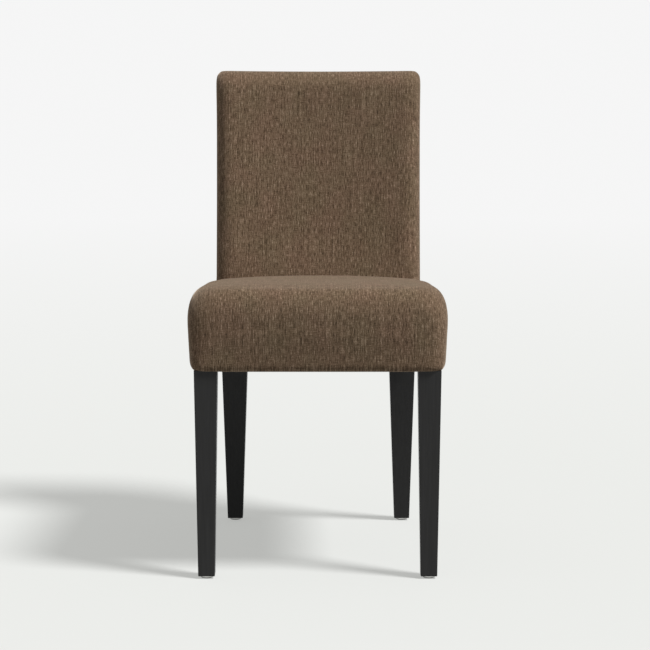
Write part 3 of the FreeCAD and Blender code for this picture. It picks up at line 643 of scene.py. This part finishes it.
def slip_stitches():
    """Small stitches that close the outside back along its sides and its top."""
    pitch = 0.009
    length = 0.0042
    thread = 0.0005
    proud = 0.0006
    side_depth = 0.0022
    top_depth = 0.0026
    first_stitch = 0.012
    bm = bmesh.new()

    def stitch(place, direction):
        turned = Vector(direction).to_track_quat("Z", "Y").to_matrix().to_4x4()
        bmesh.ops.create_cone(bm, cap_ends=True, segments=6, radius1=thread, radius2=thread,
                              depth=length, matrix=Matrix.Translation(place) @ turned)

    fold, upright, leaning = panel_lengths
    start = fold + first_stitch
    count = int((fold + upright + leaning - start) / pitch)
    for side in (1, -1):
        for i in range(count):
            y, z = run_of(panel_line, start + i * pitch)
            stitch((side * (panel_high[0] + proud), y - side_depth, z), (side * 0.25, 0.12, 1.0))
    across = int(panel_width / pitch)
    for i in range(across):
        x = (i + 0.5 - across / 2) * pitch
        stitch((x, panel_high[1] - top_depth, panel_high[2] + proud), (1.0, 0.0, 0.15))
    return new_piece("slip_stitches", bm)


def sewing_thread():
    thread = Finish("sewing_thread")
    thread.set(roughness=0.7)
    twist = thread.noise("Object", (900.0, 900.0, 2200.0), detail=1.0)
    thread.colour(thread.ramp(twist, [(0.35, (0.085, 0.058, 0.036)), (0.65, (0.17, 0.12, 0.08))]))
    thread.bump(twist, 0.0003, 0.6)
    return thread.material


outside_back = outside_back_cloth()
lay_cloth(outside_back)
finish_of(outside_back, "cover_fabric")
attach(outside_back, "root")

under_seat = dust_cloth()
finish_of(under_seat, "dust_cloth")
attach(under_seat, "root")

stitches = slip_stitches()
stitches.data.materials.append(sewing_thread())
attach(stitches, "root")


# Floor, light and camera
def pale_floor():
    """Pale to the eye, but sending back only a part of the light, with the shadows kept."""
    near_edge = 1.0
    far_edge = 7.0
    paint = Finish("pale_floor")
    paint.set(roughness=0.9, specular_ior_level=0.0)
    reach = paint.node("ShaderNodeVectorMath", operation="LENGTH")
    paint.join(paint.place("Object", (1.0, 1.0, 1.0)), reach.inputs[0])
    away = paint.node("ShaderNodeMapRange")
    away.inputs["From Min"].default_value = near_edge
    away.inputs["From Max"].default_value = far_edge
    paint.join(reach.outputs["Value"], away.inputs["Value"])
    paint.colour(paint.mix(away.outputs["Result"], (0.372, 0.376, 0.368), (0.402, 0.402, 0.402)))
    rays = paint.node("ShaderNodeLightPath")
    seen = paint.sums("MAXIMUM", rays.outputs["Is Camera Ray"], rays.outputs["Is Glossy Ray"])
    seen = paint.sums("MAXIMUM", seen, rays.outputs["Is Transmission Ray"])
    paint.join(paint.mix(away.outputs["Result"], (0.42, 0.425, 0.41), (0.46, 0.46, 0.46)),
               paint.shader.inputs["Emission Color"])
    paint.join(seen, paint.shader.inputs["Emission Strength"])
    return paint.material


def studio():
    """The floor, a soft white surrounding, one soft key light and the photograph's camera."""
    floor_half = 2000.0
    bm = bmesh.new()
    bmesh.ops.create_grid(bm, x_segments=1, y_segments=1, size=floor_half)
    floor = new_piece("floor", bm)
    floor.data.materials.append(pale_floor())

    fill_light = 0.25
    seen_white = 0.89
    world = bpy.data.worlds.new("studio")
    bpy.context.scene.world = world
    world.use_nodes = True
    tree = world.node_tree
    sky = tree.nodes["Background"]
    sky.inputs["Color"].default_value = (1.0, 1.0, 1.0, 1.0)
    rays = tree.nodes.new("ShaderNodeLightPath")
    glossy = tree.nodes.new("ShaderNodeMath")
    glossy.operation = "MAXIMUM"
    clear = tree.nodes.new("ShaderNodeMath")
    clear.operation = "MAXIMUM"
    level = tree.nodes.new("ShaderNodeMapRange")
    level.inputs["To Min"].default_value = fill_light
    level.inputs["To Max"].default_value = seen_white
    tree.links.new(rays.outputs["Is Camera Ray"], glossy.inputs[0])
    tree.links.new(rays.outputs["Is Glossy Ray"], glossy.inputs[1])
    tree.links.new(glossy.outputs["Value"], clear.inputs[0])
    tree.links.new(rays.outputs["Is Transmission Ray"], clear.inputs[1])
    tree.links.new(clear.outputs["Value"], level.inputs["Value"])
    tree.links.new(level.outputs["Result"], sky.inputs["Strength"])

    light = bpy.data.lights.new("key", "SUN")
    light.energy = 3.5
    light.angle = math.radians(14.0)
    key = bpy.data.objects.new("key", light)
    bpy.context.scene.collection.objects.link(key)
    towards_key = Vector((0.54, -0.27, 0.80))
    key.rotation_euler = towards_key.to_track_quat("Z", "Y").to_euler()

    camera = bpy.data.cameras.new("camera")
    image_width = 650.0
    focal_pixels = 2459.0
    tilt_down = math.radians(7.62)
    camera.sensor_width = 36.0
    camera.lens = focal_pixels / image_width * camera.sensor_width
    camera.clip_end = 5000.0
    eye = bpy.data.objects.new("camera", camera)
    bpy.context.scene.collection.objects.link(eye)
    eye.location = (0.0131, -4.6126, 1.042)
    eye.rotation_euler = (math.pi / 2 - tilt_down, 0.0, 0.0)
    bpy.context.scene.camera = eye
    bpy.context.scene.view_settings.view_transform = "Standard"


studio()
